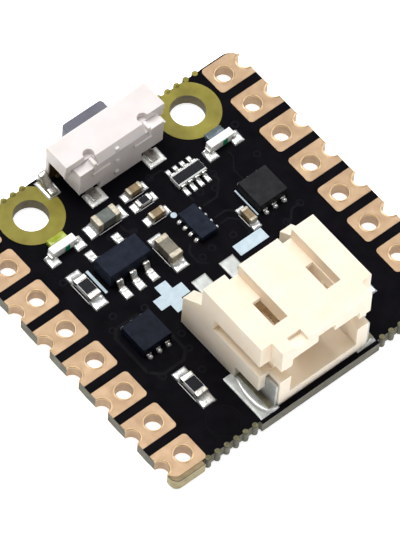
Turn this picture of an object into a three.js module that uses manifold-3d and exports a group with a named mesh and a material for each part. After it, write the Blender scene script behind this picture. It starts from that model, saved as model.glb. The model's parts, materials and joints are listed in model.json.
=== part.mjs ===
// Castellated battery power board: a square circuit board with eight edge pads a side,
// a two-pin battery socket, a slide switch and a small charging circuit.
// Millimetres. X runs towards the right pad row, Y towards the switch, Z up.
// The origin is on the board's underside, at the middle of its two pad rows.
import * as THREE from "three";
import * as BufferGeometryUtils from "three/addons/utils/BufferGeometryUtils.js";
import Module from "manifold-3d";

const wasm = await Module();
wasm.setup();

// ---- driving dimensions ----------------------------------------------------

const BOARD = { width: 20.9, near: -10.16, far: 9.97, thickness: 0.8, nearCorner: 0.5, farCorner: 0.8 };
const TOP = BOARD.thickness;

const PAD = {
  count: 8,
  pitch: 2.54,
  rowHalf: 8.89,
  inner: 7.95,
  length: 1.97,
  corner: 0.25,
  copper: 0.04,
  hole: 0.52,
  notch: 0.5,
  barrel: 0.05,
};
const FIT = 0.01;

const SCREW_HOLE = { x: 5.7, y: 8.25, radius: 1.05 };
// Nubs left by break-off tabs. Each run: distance of the first from the middle, how many,
// the line that they stand on and the way that they face.
const BREAKOFF = { radius: 0.2, pitch: 0.67, margin: 0.36, runs: [[4.6, 6, -9.93, -1], [4.95, 5, 9.95, 1]] };

// Two-pin side-entry socket, pins 2 mm apart. Local frame: y = 0 at its open front.
const SOCKET = {
  x: 0.36,
  y: -9.78,
  half: 3.9,
  roofHalf: 3.95,
  noseHalf: 3.2,
  noseDepth: 0.95,
  depth: 7.5,
  roofDepth: 5.93,
  backWall: 4.9,
  wallTop: 2.5,
  railBottom: 3.6,
  ceiling: 4.15,
  top: 5.4,
  floor: 0.8,
  cavityHalf: 2.4,
  innerWall: 2.9,
  flangeInner: 3.1,
};
const SOCKET_PIN = { x: 1.0, size: 0.5, z: 2.6, tip: 1.3, drop: 6.35, end: 8.2, foot: 0.28 };
const SOCKET_TAB = { inner: 3.2, thick: 0.2, from: 0.08, to: 2.9, height: 2.05, foot: 0.4, riseClear: 1.1 };

// Slide switch. Local frame: y = 0 at the base's front face, x = 0 at its middle.
const SWITCH = {
  x: 0,
  y: 7.3,
  half: 3.02,
  depth: 2.4,
  skirt: 0.7,
  footHalf: 1.5,
  baseTop: 2.6,
  coverHalf: 3.54,
  coverTop: 3.2,
  floor: 1.15,
  wall: 0.42,
  frontWall: 0.65,
  lidFront: 0.62,
  seam: 0.02,
};
const SPOT = { x: -0.33, half: 0.12, low: 0.62, middle: 1.72, high: 2.82 };
const HOOK = { from: 1.85, to: 2.05, top: 2.95, notch: 0.33 };
const SLIDER = { rest: -0.2, travel: 0.75, half: 1.25, stem: 0.95, knobHalf: 1.46 };
const TERMINAL = { x: 2.1, half: 0.3, thick: 0.15, front: -0.55, riser: 0.8 };
const ANCHOR = { x: 3.8, half: 0.3, from: 1.15, to: 2.5 };

// ---- colours ---------------------------------------------------------------

const finish = {
  mask: { color: 0x14141a, roughness: 0.45, metalness: 0.0 },
  gold: { color: 0xd9b482, roughness: 0.4, metalness: 0.9 },
  tin: { color: 0xc9c9c6, roughness: 0.3, metalness: 0.95 },
  ivory: { color: 0xf3e9d4, roughness: 0.5, metalness: 0.0 },
  white: { color: 0xf1eeea, roughness: 0.5, metalness: 0.0 },
  knob: { color: 0x63646f, roughness: 0.55, metalness: 0.0 },
  epoxy: { color: 0x1a2230, roughness: 0.55, metalness: 0.0 },
  ceramicBrown: { color: 0x9a7350, roughness: 0.5, metalness: 0.0 },
  ceramicGrey: { color: 0x77756e, roughness: 0.5, metalness: 0.0 },
  film: { color: 0x17171a, roughness: 0.4, metalness: 0.0 },
  lampWhite: { color: 0xf6f3ee, roughness: 0.5, metalness: 0.0 },
  lampYellow: { color: 0xa8b32c, roughness: 0.25, metalness: 0.0 },
  lampClear: { color: 0x7f949c, roughness: 0.2, metalness: 0.0 },
};

// ---- shape helpers ---------------------------------------------------------

const AXES = {
  x: new THREE.Vector3(1, 0, 0),
  y: new THREE.Vector3(0, 1, 0),
  z: new THREE.Vector3(0, 0, 1),
};

function toSolid(geometry) {
  const bare = geometry.clone();
  bare.deleteAttribute("normal");
  bare.deleteAttribute("uv");
  const merged = BufferGeometryUtils.mergeVertices(bare, 1e-5);
  return new wasm.Manifold(
    new wasm.Mesh({
      numProp: 3,
      vertProperties: new Float32Array(merged.attributes.position.array),
      triVerts: new Uint32Array(merged.index.array),
    }),
  );
}

function toGeometry(solid) {
  const mesh = solid.getMesh();
  const geometry = new THREE.BufferGeometry();
  geometry.setAttribute("position", new THREE.BufferAttribute(new Float32Array(mesh.vertProperties), 3));
  geometry.setIndex(new THREE.BufferAttribute(new Uint32Array(mesh.triVerts), 1));
  geometry.computeVertexNormals();
  return geometry;
}

function box([x0, x1], [y0, y1], [z0, z1]) {
  const geometry = new THREE.BoxGeometry(x1 - x0, y1 - y0, z1 - z0);
  geometry.translate((x0 + x1) / 2, (y0 + y1) / 2, (z0 + z1) / 2);
  return toSolid(geometry);
}

function post(x, y, radius, [z0, z1], sides) {
  const geometry = new THREE.CylinderGeometry(radius, radius, z1 - z0, sides);
  geometry.rotateX(Math.PI / 2);
  geometry.translate(x, y, (z0 + z1) / 2);
  return toSolid(geometry);
}

function plate(shape, [z0, z1], curveSegments = 4) {
  const geometry = new THREE.ExtrudeGeometry(shape, { depth: z1 - z0, bevelEnabled: false, curveSegments });
  geometry.translate(0, 0, z0);
  return toSolid(geometry);
}

// An outline drawn in the Y-Z plane and swept along X.
function sweepX(points, [x0, x1]) {
  const shape = new THREE.Shape(points.map(([y, z]) => new THREE.Vector2(y, z)));
  const geometry = new THREE.ExtrudeGeometry(shape, { depth: x1 - x0, bevelEnabled: false });
  geometry.applyMatrix4(new THREE.Matrix4().makeBasis(AXES.y, AXES.z, AXES.x));
  geometry.translate(x0, 0, 0);
  return toSolid(geometry);
}

function roundedRectangle([x0, x1], [y0, y1], radius) {
  const shape = new THREE.Shape();
  shape.moveTo(x0 + radius, y0);
  shape.lineTo(x1 - radius, y0);
  shape.absarc(x1 - radius, y0 + radius, radius, -Math.PI / 2, 0);
  shape.lineTo(x1, y1 - radius);
  shape.absarc(x1 - radius, y1 - radius, radius, 0, Math.PI / 2);
  shape.lineTo(x0 + radius, y1);
  shape.absarc(x0 + radius, y1 - radius, radius, Math.PI / 2, Math.PI);
  shape.lineTo(x0, y0 + radius);
  shape.absarc(x0 + radius, y0 + radius, radius, Math.PI, 1.5 * Math.PI);
  return shape;
}

const join = (solids) => solids.reduce((whole, solid) => whole.add(solid));
const cut = (whole, tools) => tools.reduce((rest, tool) => rest.subtract(tool), whole);
const mirrored = (make) => [make(-1), make(1)];
const span = (side, near, far) => (side < 0 ? [-far, -near] : [near, far]);

function mesh(name, solid, look, position = [0, 0, 0], turn = 0) {
  const part = new THREE.Mesh(toGeometry(solid), new THREE.MeshStandardMaterial(finish[look]));
  part.name = name;
  part.position.set(...position);
  part.rotation.z = turn;
  return part;
}

// ---- edge pads -------------------------------------------------------------

const padY = (index) => ((PAD.count - 1) / 2 - index) * PAD.pitch;

// One plated pad on the right edge, centred on y = 0: a face above, a face below, the
// lining of its hole and the lining of its half-hole at the board's edge.
function padSolid(grow) {
  const edge = BOARD.width / 2;
  const outline = roundedRectangle(
    [PAD.inner - grow, edge + 0.3],
    [-PAD.length / 2 - grow, PAD.length / 2 + grow],
    PAD.corner,
  );
  const inBoard = box([0, edge], [-2, 2], [-1, TOP + 1]);
  const skin = PAD.copper + grow;
  const faces = join([plate(outline, [TOP - grow, TOP + PAD.copper]), plate(outline, [-grow, skin])]);
  const linings = join([
    post(PAD.rowHalf, 0, PAD.hole + PAD.barrel + grow, [-grow, TOP], 20),
    post(edge, 0, PAD.notch + PAD.barrel + grow, [-grow, TOP], 20),
  ]);
  const copper = faces.add(linings).intersect(inBoard);
  return cut(copper, [
    post(PAD.rowHalf, 0, PAD.hole, [-1, TOP + 1], 20),
    post(edge, 0, PAD.notch, [-1, TOP + 1], 20),
  ]);
}

function trimToBoard(solid, y) {
  return solid.translate([0, y, 0]).intersect(boardBlank(-FIT)).translate([0, -y, 0]);
}

function edgePads() {
  const rows = new THREE.Group();
  for (const side of [-1, 1]) {
    for (let index = 0; index < PAD.count; index += 1) {
      const end = index === 0 || index === PAD.count - 1;
      const y = padY(index);
      const whole = end ? trimToBoard(padSolid(0), side * y) : padSolid(0);
      const turn = side < 0 ? Math.PI : 0;
      const name = `pad_${side < 0 ? "left" : "right"}_${index + 1}`;
      rows.add(mesh(name, whole, "gold", [0, y, 0], turn));
    }
  }
  return rows;
}

// ---- board -----------------------------------------------------------------

function boardBlank(grow) {
  const half = BOARD.width / 2 + grow;
  const outline = roundedRectangle([-half, half], [BOARD.near - grow, BOARD.far + grow], BOARD.nearCorner);
  const farOutline = roundedRectangle([-half, half], [-BOARD.far, BOARD.far + grow], BOARD.farCorner);
  const depth = [-1, TOP + 1];
  const farHalf = plate(farOutline, depth, 6).intersect(box([-half, half], [0, BOARD.far + 1], depth));
  return plate(outline, depth, 5).intersect(box([-half, half], [BOARD.near - 1, 0], depth)).add(farHalf);
}

// Where a panel's tabs were broken away, the edge is set back with a row of nubs on it.
function breakOffEdges(blank) {
  const b = BREAKOFF;
  const notches = b.runs.flatMap(([start, count, line, way]) => {
    const stretch = [start - b.margin, start + (count - 1) * b.pitch + b.margin];
    const beyond = span(way, way * line, way * line + 1);
    return mirrored((side) => box(span(side, ...stretch), beyond, [-1, TOP + 1]));
  });
  const nubs = b.runs.flatMap(([start, count, line]) =>
    Array.from({ length: count }, (_, step) =>
      mirrored((side) => post(side * (start + step * b.pitch), line, b.radius, [0, TOP], 10)),
    ).flat(),
  );
  return join([cut(blank, notches), ...nubs]);
}

function board() {
  const slab = box([-20, 20], [-20, 20], [0, TOP]);
  const blank = breakOffEdges(boardBlank(0).intersect(slab));
  const room = padSolid(FIT).add(post(PAD.rowHalf, 0, PAD.hole + PAD.barrel, [-1, TOP + 1], 20));
  const pocket = room.add(post(BOARD.width / 2, 0, PAD.notch + PAD.barrel, [-1, TOP + 1], 20));
  const pockets = mirrored((side) =>
    join(
      Array.from({ length: PAD.count }, (_, index) =>
        pocket.rotate([0, 0, side < 0 ? 180 : 0]).translate([0, padY(index), 0]),
      ),
    ),
  );
  const screwHoles = mirrored((side) =>
    post(side * SCREW_HOLE.x, SCREW_HOLE.y, SCREW_HOLE.radius, [-1, TOP + 1], 32),
  );
  return mesh("circuit_board", cut(blank, [...pockets, ...screwHoles]), "mask");
}

// ---- battery socket --------------------------------------------------------

function socketHousing() {
  const s = SOCKET;
  const tab = SOCKET_TAB;
  const slotDepth = 4.45;
  const pinHole = SOCKET_PIN.size / 2 + FIT;
  const blocks = [
    box([-s.half, s.half], [s.noseDepth, s.depth], [0, s.wallTop]),
    box([-s.noseHalf, s.noseHalf], [0, s.noseDepth], [0, s.wallTop - 0.1]),
    box([-s.roofHalf, s.roofHalf], [s.noseDepth, s.roofDepth], [s.wallTop, s.top]),
    box([-s.noseHalf, s.noseHalf], [0, s.noseDepth], [s.railBottom - 0.1, s.top]),
    ...mirrored((side) =>
      sweepX(
        [[s.roofDepth, 0], [s.depth, 0], [s.depth, s.wallTop], [s.depth - 0.2, s.wallTop + 0.15],
          [s.roofDepth, s.railBottom + 0.1]],
        span(side, s.flangeInner, s.half),
      ),
    ),
  ];
  const tools = [
    box([-s.cavityHalf, s.cavityHalf], [-1, s.backWall], [s.floor, s.ceiling]),
    box([-0.6, 0.6], [-1, s.backWall], [s.ceiling - 0.1, s.ceiling + 0.6]),
    box([-s.flangeInner, s.flangeInner], [s.roofDepth, s.depth + 1], [-1, s.top]),
    box([-2.35, -1.4], [-1, 0.7], [s.top - 0.3, s.top + 1]),
    ...mirrored((side) => box(span(side, s.innerWall, 5), [-1, s.backWall], [s.wallTop, s.railBottom])),
    ...mirrored((side) => box(span(side, 2.3, 3), [2.2, 3.2], [s.wallTop + 0.1, s.railBottom - 0.1])),
    ...mirrored((side) =>
      box(span(side, tab.inner - FIT, tab.inner + tab.thick + FIT), [-1, tab.to + FIT], [-1, tab.height + 0.1]),
    ),
    ...mirrored((side) => box(span(side, tab.inner + 0.1, 5), [-1, tab.to + FIT], [-1, tab.riseClear])),
    ...mirrored((side) => box(span(side, 1.4, 2.4), [1.75, 7], [slotDepth, s.top + 1])),
    ...mirrored((side) => box(span(side, 1.4, 2.35), [1.75, 4.0], [s.ceiling - 0.1, s.top + 1])),
    ...mirrored((side) =>
      box(
        [side * SOCKET_PIN.x - pinHole, side * SOCKET_PIN.x + pinHole],
        [4, 7],
        [SOCKET_PIN.z - pinHole, SOCKET_PIN.z + pinHole],
      ),
    ),
  ];
  return mesh("socket_housing", cut(join(blocks), tools), "ivory");
}

// A square pin that runs back through the rear wall, turns down and ends in a foot.
function socketPin(side) {
  const p = SOCKET_PIN;
  const half = p.size / 2;
  const bend = 0.25;
  const outline = [
    [p.tip + 0.3, p.z - half], [p.drop, p.z - half], [p.drop, bend], [p.drop + bend, 0], [p.end, 0],
    [p.end, p.foot], [p.drop + half + bend, p.foot], [p.drop + half + 0.05, p.foot + 0.2],
    [p.drop + half + 0.05, p.z + half - 0.2], [p.drop + half - 0.15, p.z + half], [p.tip + 0.3, p.z + half],
    [p.tip, p.z + half / 2], [p.tip, p.z - half / 2],
  ];
  const name = `socket_pin_${side < 0 ? "left" : "right"}`;
  return mesh(name, sweepX(outline, [side * p.x - half, side * p.x + half]), "tin");
}

// A vertical plate held in the housing's side slot, with a foot turned outwards.
function socketTab(side) {
  const t = SOCKET_TAB;
  const solid = join([
    box(span(side, t.inner, t.inner + t.thick), [t.from, t.to], [0, t.height]),
    box(span(side, t.inner, t.inner + t.thick + t.foot), [t.from, t.to], [0, t.thick]),
  ]);
  return mesh(`socket_tab_${side < 0 ? "left" : "right"}`, solid, "tin");
}

function batterySocket() {
  const group = new THREE.Group();
  group.position.set(SOCKET.x, SOCKET.y, TOP);
  group.add(socketHousing(), ...mirrored(socketPin), ...mirrored(socketTab));
  return group;
}

// ---- slide switch ----------------------------------------------------------

function switchBase() {
  const s = SWITCH;
  const inner = s.half - s.wall;
  const earTop = 1.98;
  const earFront = s.depth - 0.28;
  const blocks = [
    box([-s.half, s.half], [0, s.depth], [s.skirt, s.baseTop]),
    box([-s.footHalf, s.footHalf], [0, s.depth], [0, s.skirt]),
    ...mirrored((side) => box(span(side, s.half - 0.3, s.coverHalf), [earFront, s.depth], [0.4, earTop])),
    ...mirrored((side) => box(span(side, HOOK.from, HOOK.to), [-0.04, 0.5], [2.2, HOOK.top])),
    ...mirrored((side) => box(span(side, 0.9, 2.1), [-0.12, 0.1], [1.9, 2.1])),
    ...[SPOT.low, SPOT.middle].map((z) => spot(z, [-0.1, 0.1])),
  ];
  const slotHalf = SLIDER.stem + SLIDER.travel + 0.12;
  const tools = [
    box([-inner, inner], [s.frontWall, s.depth - s.wall], [s.floor, s.baseTop + 1]),
    ...mirrored((side) => box(span(side, s.half - 0.22, s.coverHalf), [1.4, earFront], [0, earTop])),
    box([-slotHalf, slotHalf], [s.depth - 1, s.depth + 1], [s.floor + 0.25, s.baseTop + 1]),
    ...mirrored((side) => terminalSolid(side, FIT)),
  ];
  return mesh("switch_base", cut(join(blocks), tools), "white");
}

// The lid: a sloped front lip between the hooks, a skirt down each end, and a shallow
// round notch behind each hook.
function switchCover() {
  const s = SWITCH;
  const under = s.baseTop + s.seam;
  const lid = sweepX(
    [[s.lidFront, under], [s.depth + 0.03, under], [s.depth + 0.03, s.coverTop - 0.08],
      [s.depth - 0.05, s.coverTop], [s.lidFront, s.coverTop]],
    [-s.coverHalf, s.coverHalf],
  );
  const lip = sweepX([[-0.03, under], [0.8, under], [0.8, s.coverTop], [0.3, s.coverTop]], [-1.7, 1.7]);
  const skirts = mirrored((side) =>
    box(span(side, s.half + 0.06, s.coverHalf), [0.7, s.depth], [2.02, under + 0.1]),
  );
  const notches = mirrored((side) =>
    post(side * (HOOK.from + HOOK.to) / 2, s.lidFront, HOOK.notch, [under + 0.13, s.coverTop + 1], 24),
  );
  const whole = join([lid, lip, ...skirts, spot(SPOT.high, [-0.02, 0.4])]);
  return mesh("switch_cover", cut(whole, notches), "white");
}

// A small raised spot on the front of the switch.
function spot(z, depth) {
  const at = [SPOT.x - SPOT.half, SPOT.x + SPOT.half];
  return box(at, depth, [z - SPOT.half, z + SPOT.half]);
}

// The moving block: a carriage inside the base, a stem through the slot and the knob outside.
function switchSlider() {
  const s = SWITCH;
  const d = SLIDER;
  const low = s.floor + 0.3;
  const high = s.baseTop - 0.05;
  const knobReach = [s.depth + 0.08, s.depth + 1.0];
  const solid = join([
    box([-d.half, d.half], [s.frontWall + 0.05, s.depth - s.wall - 0.05], [low, high]),
    box([-d.stem, d.stem], [s.depth - s.wall - 0.3, s.depth + 0.3], [low + 0.02, high]),
    plate(roundedRectangle([-d.knobHalf, d.knobHalf], knobReach, 0.24), [low - 0.35, high - 0.12]),
  ]);
  return mesh("switch_slider", solid, "knob", [d.rest, 0, 0]);
}

// The bridging contact, a thin strip with a raised middle that the carriage carries.
function switchWiper() {
  const s = SWITCH;
  const low = s.floor + TERMINAL.thick + 0.02;
  const solid = join([
    box([-1.2, 1.2], [0.75, 1.55], [low, low + 0.08]),
    box([-0.2, 0.2], [0.9, 1.35], [low, s.floor + 0.29]),
  ]);
  return mesh("switch_wiper", solid, "tin", [SLIDER.rest, 0, 0]);
}

function terminalSolid(side, grow) {
  const t = TERMINAL;
  const s = SWITCH;
  const low = 0.04;
  const outline = [
    [t.front, low], [t.riser + t.thick + grow, low], [t.riser + t.thick + grow, s.floor - grow],
    [1.6 + grow, s.floor - grow], [1.6 + grow, s.floor + t.thick + 2 * grow],
    [t.riser - grow, s.floor + t.thick + 2 * grow], [t.riser - grow, low + t.thick + grow],
    [t.front, low + t.thick + grow],
  ];
  const foot = sweepX(outline, [side * t.x - t.half - grow, side * t.x + t.half + grow]);
  const finger = [
    span(side, 0.75 - grow, t.x),
    [1.2 - grow, 1.6 + grow],
    [s.floor - grow, s.floor + t.thick + 2 * grow],
  ];
  return foot.add(box(...finger));
}

function switchAnchor(side) {
  const a = ANCHOR;
  const outline = [
    [a.from, 0.02], [a.to, 0.02], [a.to, 0.9], [a.to - 0.35, 0.9], [a.from + 0.5, 0.3], [a.from, 0.25],
  ];
  const solid = sweepX(outline, span(side, a.x - a.half, a.x + a.half));
  return mesh(`switch_anchor_${side < 0 ? "left" : "right"}`, solid, "tin");
}

function slideSwitch() {
  const group = new THREE.Group();
  group.position.set(SWITCH.x, SWITCH.y, TOP);
  const terminals = mirrored((side) =>
    mesh(`switch_terminal_${side < 0 ? "left" : "right"}`, terminalSolid(side, 0), "tin"),
  );
  group.add(switchBase(), switchCover(), switchSlider(), switchWiper(), ...terminals);
  group.add(...mirrored(switchAnchor));
  return group;
}

// ---- surface-mount parts ---------------------------------------------------

// A two-terminal chip: a ceramic body between two slightly larger end caps.
function chip(name, look, [length, width, height], [x, y], turn = 0) {
  const cap = length * 0.2;
  const proud = 0.02;
  const body = box([-length / 2 + cap / 2, length / 2 - cap / 2], [-width / 2 + proud, width / 2 - proud],
    [proud, height - proud]);
  const caps = mirrored((side) =>
    box(span(side, length / 2 - cap, length / 2), [-width / 2, width / 2], [0, height]),
  );
  return mesh(name, join([body, ...caps]), look, [x, y, TOP], turn);
}

// Four resistors in one row: a flat body with four stubs along each long side.
function resistorArray(name, [x, y]) {
  const stubs = mirrored((side) =>
    join(
      [-0.75, -0.25, 0.25, 0.75].map((at) => box([at - 0.15, at + 0.15], span(side, 0.35, 0.52), [0, 0.42])),
    ),
  );
  const body = box([-1, 1], [-0.45, 0.45], [0.02, 0.4]);
  return mesh(name, join([body, ...stubs]), "film", [x, y, TOP]);
}

// A moulded package with sides that lean in towards a flat top and a flat underside.
function mouldedBody([width, length, height], standoff) {
  const waist = standoff + (height - standoff) * 0.45;
  const draft = 0.06;
  const outline = [
    [-length / 2 + draft, standoff], [length / 2 - draft, standoff], [length / 2, waist],
    [length / 2 - draft, height], [-length / 2 + draft, height], [-length / 2, waist],
  ];
  return sweepX(outline, [-width / 2, width / 2]);
}

// A gull-wing lead that leaves the body at height and steps down to the board.
function gullLead(name, at, side, { from, to, half, exit, thick }, [x, y]) {
  const outline = [
    [from, exit], [from + 0.18, exit], [from + 0.34, thick], [to, thick], [to, 0],
    [from + 0.2, 0], [from + 0.05, exit - thick], [from, exit - thick],
  ];
  const points = side < 0 ? outline.map(([a, b]) => [-a, b]).reverse() : outline.slice().reverse();
  return mesh(name, sweepX(points, [at - half, at + half]), "tin", [x, y, TOP]);
}

function chargerController() {
  const place = [-3.8, 2.55];
  const lead = { from: 0.8 + FIT, to: 1.42, half: 0.2, exit: 0.62, thick: 0.14 };
  const group = new THREE.Group();
  group.add(mesh("charger_ic_body", mouldedBody([2.9, 1.6, 1.15], 0.05), "epoxy", [...place, TOP]));
  [-0.95, 0, 0.95].forEach((at, index) =>
    group.add(gullLead(`charger_ic_lead_${index + 1}`, at, -1, lead, place)),
  );
  [0.95, -0.95].forEach((at, index) =>
    group.add(gullLead(`charger_ic_lead_${index + 4}`, at, 1, lead, place)),
  );
  return group;
}

// A small package with four short flat leads along each side.
function protectionIc() {
  const stubs = mirrored((side) =>
    join(
      [-0.75, -0.25, 0.25, 0.75].map((at) => box(span(side, 0.5, 0.74), [at - 0.12, at + 0.12], [0, 0.14])),
    ),
  );
  const body = box([-0.6, 0.6], [-1.05, 1.05], [0.02, 0.48]);
  return mesh("protection_ic", join([body, ...stubs]), "epoxy", [1.24, 2.02, TOP]);
}

// A leadless package: a square block on six contacts that show at its foot.
function leadlessIc(name, [x, y]) {
  const contacts = mirrored((side) =>
    join([-0.65, 0, 0.65].map((at) => box([at - 0.16, at + 0.16], span(side, 0.8, 1.06), [0, 0.2]))),
  );
  const body = box([-1, 1], [-1, 1], [0.02, 0.75]);
  return mesh(name, join([body, ...contacts]), "epoxy", [x, y, TOP]);
}

// A side-facing lamp: a white carrier with its lens towards the far edge.
function sideLamp(side, look) {
  const name = side < 0 ? "lamp_left" : "lamp_right";
  const place = [side * 5.72, 5.2, TOP];
  const carrier = box([-0.85, 0.85], [0, 0.5], [0, 0.62]);
  const lens = sweepX([[0.51, 0.06], [1.0, 0.12], [1.06, 0.3], [1.0, 0.5], [0.51, 0.56]], [-0.58, 0.58]);
  return [mesh(`${name}_carrier`, carrier, "lampWhite", place), mesh(`${name}_lens`, lens, look, place)];
}

function surfaceParts() {
  const group = new THREE.Group();
  const quarter = Math.PI / 2;
  const size0603 = [1.6, 0.82, 0.8];
  const flat0603 = [1.6, 0.82, 0.45];
  const size0402 = [1.0, 0.5, 0.5];
  const flat0402 = [1.0, 0.5, 0.35];
  group.add(
    chip("sense_resistor_rear", "film", flat0603, [-6.34, 2.52], quarter),
    chip("sense_resistor_front", "film", flat0603, [-5.71, -6.0], quarter),
    chip("small_resistor", "film", flat0402, [-0.2, 5.03]),
    chip("input_capacitor", "ceramicGrey", size0603, [-2.71, 5.35]),
    chip("battery_capacitor", "ceramicGrey", size0603, [-1.23, 1.62], quarter),
    chip("small_capacitor_rear", "ceramicBrown", size0402, [-0.2, 5.9]),
    chip("small_capacitor_middle", "ceramicBrown", size0402, [-0.2, 3.88]),
    chip("small_capacitor_right", "ceramicBrown", size0402, [3.78, 0.62], quarter),
    resistorArray("resistor_array", [2.91, 4.85]),
    chargerController(),
    protectionIc(),
    leadlessIc("regulator_ic", [5.47, 1.45]),
    leadlessIc("path_switch_ic", [-5.69, -1.85]),
    ...sideLamp(-1, "lampYellow"),
    ...sideLamp(1, "lampClear"),
  );
  return group;
}

// ---- assembly --------------------------------------------------------------

const model = new THREE.Group();
model.add(board(), edgePads(), batterySocket(), slideSwitch(), surfaceParts());

export default model;
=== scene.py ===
"""Looks of a castellated battery power board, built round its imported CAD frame.

Shapes are made in millimetres and scaled to metres as each piece is finished.
X runs towards the right pad row, Y towards the switch, Z up.
"""
import json
import math

import bmesh
import bpy
from mathutils import Matrix, Vector


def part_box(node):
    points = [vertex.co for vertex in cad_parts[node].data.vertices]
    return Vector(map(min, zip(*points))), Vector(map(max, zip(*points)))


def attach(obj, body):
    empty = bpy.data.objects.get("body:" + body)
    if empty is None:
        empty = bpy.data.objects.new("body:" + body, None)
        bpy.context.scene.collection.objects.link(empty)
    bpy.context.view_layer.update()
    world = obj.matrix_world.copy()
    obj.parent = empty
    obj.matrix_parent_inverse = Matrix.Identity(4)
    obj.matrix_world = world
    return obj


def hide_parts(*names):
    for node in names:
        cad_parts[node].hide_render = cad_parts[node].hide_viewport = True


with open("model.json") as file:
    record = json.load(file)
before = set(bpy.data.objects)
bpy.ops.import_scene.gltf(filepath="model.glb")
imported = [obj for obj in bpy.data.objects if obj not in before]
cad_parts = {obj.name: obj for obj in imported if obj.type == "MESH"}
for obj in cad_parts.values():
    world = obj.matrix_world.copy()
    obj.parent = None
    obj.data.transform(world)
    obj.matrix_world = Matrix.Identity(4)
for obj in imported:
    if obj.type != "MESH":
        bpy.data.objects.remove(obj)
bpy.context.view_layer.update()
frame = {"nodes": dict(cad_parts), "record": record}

MM = 0.001

# Vertices nearer than MERGE are joined, and faces within SAME_PLANE of each other become one. Edges sharper
# than SHARP are rounded in the copy of a CAD shape. Shading creases past SHARP, or past SOLDER_SHARP in
# solder.
MERGE = 0.0005
SAME_PLANE = math.radians(1)
SHARP = math.radians(28)
SOLDER_SHARP = math.radians(70)

# A face is shaded flat when its normal is this near to upright and its area is over this many mm2.
LEVEL_NORMAL = 0.9999
LEVEL_AREA = 0.05

# A face belongs to the top or the underside, not to a wall, when its normal's Z is past this.
FACES_UP = 0.6

# Noise values over NOISE_SPAN are spread over a range, and the two tones of a look blend between TONE_STOPS.
NOISE_SPAN = (0.3, 0.7)
TONE_STOPS = (0.32, 0.68)


def node_box(node):
    """Lowest and highest corner of a CAD node, in millimetres."""
    low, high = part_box(node)
    return low / MM, high / MM


BOARD_LOW, BOARD_HIGH = node_box("circuit_board")
TOP = BOARD_HIGH.z

# Surface detail starts at BURIED and mostly stands PROUD of the board. Most pieces of parts start at FOOT.
BURIED = TOP - 0.01
PROUD = 0.012
FOOT = TOP + 0.02

# Places along a row of four contacts 0.5 mm apart.
ROW_OF_FOUR = (-0.75, -0.25, 0.25, 0.75)


# ---- materials -------------------------------------------------------------

def screen(red, green, blue):
    """Linear colour of a colour given as it looks on a screen, 0 to 255."""
    def linear(value):
        """One channel, from 0 to 255, in linear light."""
        value /= 255
        return value / 12.92 if value <= 0.04045 else ((value + 0.055) / 1.055) ** 2.4
    return (linear(red), linear(green), linear(blue), 1.0)


def noise(tree, size, detail=3.0, stretch=(1, 1, 1)):
    """Noise with blotches about size mm across, in the part's own coordinates."""
    place = tree.nodes.new("ShaderNodeTexCoord")
    scale = tree.nodes.new("ShaderNodeMapping")
    scale.inputs["Scale"].default_value = [share / (size * MM) for share in stretch]
    texture = tree.nodes.new("ShaderNodeTexNoise")
    texture.inputs["Scale"].default_value = 1.0
    texture.inputs["Detail"].default_value = detail
    tree.links.new(place.outputs["Object"], scale.inputs["Vector"])
    tree.links.new(scale.outputs["Vector"], texture.inputs["Vector"])
    return texture.outputs["Fac"]


def remap(tree, value, low, high):
    """A noise value spread over the range from low to high."""
    node = tree.nodes.new("ShaderNodeMapRange")
    node.inputs["From Min"].default_value = NOISE_SPAN[0]
    node.inputs["From Max"].default_value = NOISE_SPAN[1]
    node.inputs["To Min"].default_value = low
    node.inputs["To Max"].default_value = high
    tree.links.new(value, node.inputs["Value"])
    return node.outputs["Result"]


def surface(name, dark, light, rough, metallic=0.0, blotch=0.8, grain=0.05, relief=0.002,
            stretch=(1, 1, 1), extra=()):
    """Two mottled tones, a roughness that varies, and a fine raised grain."""
    look = bpy.data.materials.new(name)
    look.use_nodes = True
    tree = look.node_tree
    shader = next(node for node in tree.nodes if node.type == "BSDF_PRINCIPLED")
    shader.inputs["Metallic"].default_value = metallic

    tones = tree.nodes.new("ShaderNodeValToRGB")
    tones.color_ramp.elements[0].position = TONE_STOPS[0]
    tones.color_ramp.elements[0].color = screen(*dark)
    tones.color_ramp.elements[1].position = TONE_STOPS[1]
    tones.color_ramp.elements[1].color = screen(*light)
    tree.links.new(noise(tree, blotch, 5.0, stretch), tones.inputs["Fac"])
    tree.links.new(tones.outputs["Color"], shader.inputs["Base Color"])

    tree.links.new(remap(tree, noise(tree, blotch * 0.6), *rough), shader.inputs["Roughness"])

    bump = tree.nodes.new("ShaderNodeBump")
    bump.inputs["Distance"].default_value = relief * MM
    tree.links.new(noise(tree, grain, 2.0, stretch), bump.inputs["Height"])
    tree.links.new(bump.outputs["Normal"], shader.inputs["Normal"])

    for socket, value in dict(extra).items():
        shader.inputs[socket].default_value = value
    return look


def moulded(name, dark, light, depth, rough=(0.42, 0.55)):
    """Nylon that lets a little light in, with the fine texture of the mould."""
    return surface(name, dark, light, rough, blotch=1.6, grain=0.035, relief=0.0015,
                   extra={"Subsurface Weight": 0.3, "Subsurface Scale": depth * MM,
                          "Subsurface Radius": (1.0, 0.85, 0.5), "Specular IOR Level": 0.5})


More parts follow.
